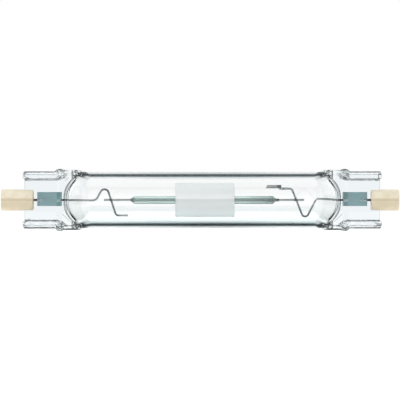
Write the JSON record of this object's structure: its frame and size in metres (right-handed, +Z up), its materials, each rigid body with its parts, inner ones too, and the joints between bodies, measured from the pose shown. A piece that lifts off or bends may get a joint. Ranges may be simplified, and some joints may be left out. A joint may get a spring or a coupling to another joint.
{
  "type": "metal halide lamp",
  "caption": "Double-ended metal halide lamp: clear quartz bulb pinched flat at both ends, ceramic caps with recessed contacts, ceramic arc tube on bent lead wires.",
  "frame": {"origin": "on the lamp's axis, halfway between the outer ends of the two caps", "axes": "+X along the lamp towards the end with the getter, +Z up in the plane of the flat pinches, -Y towards the side on which the bent wires cross the straight leads"},
  "size_m": [0.1374, 0.0194, 0.0216],
  "materials": {
    "quartz": "clear, fire polished",
    "cap_ceramic": "matt, fine grained",
    "cap_cement": "matt",
    "contact_metal": "satin nickel",
    "sealing_foil": "satin, teal grey",
    "lead_wire": "drawn wire, satin",
    "niobium": "drawn wire, satin",
    "tungsten": "drawn wire",
    "alumina_white": "matt, translucent",
    "alumina_leg": "translucent",
    "frit_glass": "glassy",
    "getter_metal": "satin",
    "salt": "crystalline"
  },
  "bodies": {
    "root": {"outer_envelope": "quartz", "base_cap_left": "cap_ceramic", "base_contact_left": "contact_metal", "base_cement_left": "cap_cement", "seal_foil_left": "sealing_foil", "outer_lead_left": "lead_wire", "inner_lead_left": "lead_wire", "niobium_lead_left": "niobium", "frit_seal_left": "frit_glass", "capillary_left": "alumina_leg", "arc_tube_plug_left": "alumina_white", "molybdenum_coil_left": "tungsten", "electrode_rod_left": "tungsten", "electrode_coil_left": "tungsten", "base_cap_right": "cap_ceramic", "base_contact_right": "contact_metal", "base_cement_right": "cap_cement", "seal_foil_right": "sealing_foil", "outer_lead_right": "lead_wire", "inner_lead_right": "lead_wire", "niobium_lead_right": "niobium", "frit_seal_right": "frit_glass", "capillary_right": "alumina_leg", "arc_tube_plug_right": "alumina_white", "molybdenum_coil_right": "tungsten", "electrode_rod_right": "tungsten", "electrode_coil_right": "tungsten", "arc_tube_barrel": "alumina_white", "getter_strip": "getter_metal", "dose_pool": "salt"}
  },
  "joints": []
}
